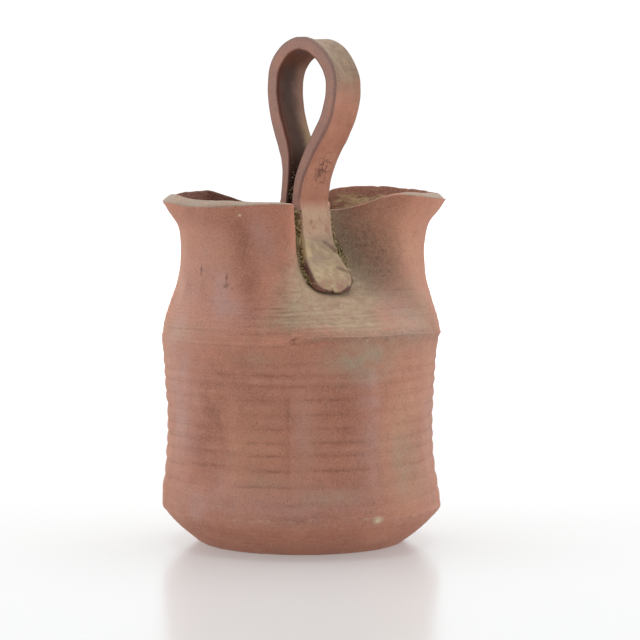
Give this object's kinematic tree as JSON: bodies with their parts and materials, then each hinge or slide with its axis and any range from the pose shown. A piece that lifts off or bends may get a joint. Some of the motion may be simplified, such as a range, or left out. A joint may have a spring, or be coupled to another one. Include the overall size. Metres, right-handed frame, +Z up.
{
  "type": "ceramic pitcher",
  "caption": "Small thrown clay pot on a flat foot, ridged belly, waisted neck pinched front and back into two spouted lobes, with a strap loop handle luted over the pinch.",
  "frame": {"origin": "centre of the flat foot, on the table", "axes": "+Z up; the two lobes of the mouth lie along X; the front pinch and its tongue face -Y"},
  "size_m": [0.1124, 0.1002, 0.1805],
  "materials": {
    "clay": "unglazed red-brown clay, matt, with kiln ash",
    "strap_clay": "unglazed red-brown clay, matt, smoothed by hand",
    "slip": "dry crumbly clay slip, matt, ash coloured"
  },
  "bodies": {
    "root": {"body": "clay", "strap_handle": "strap_clay", "front_slip": "slip", "back_slip": "slip"}
  },
  "joints": []
}
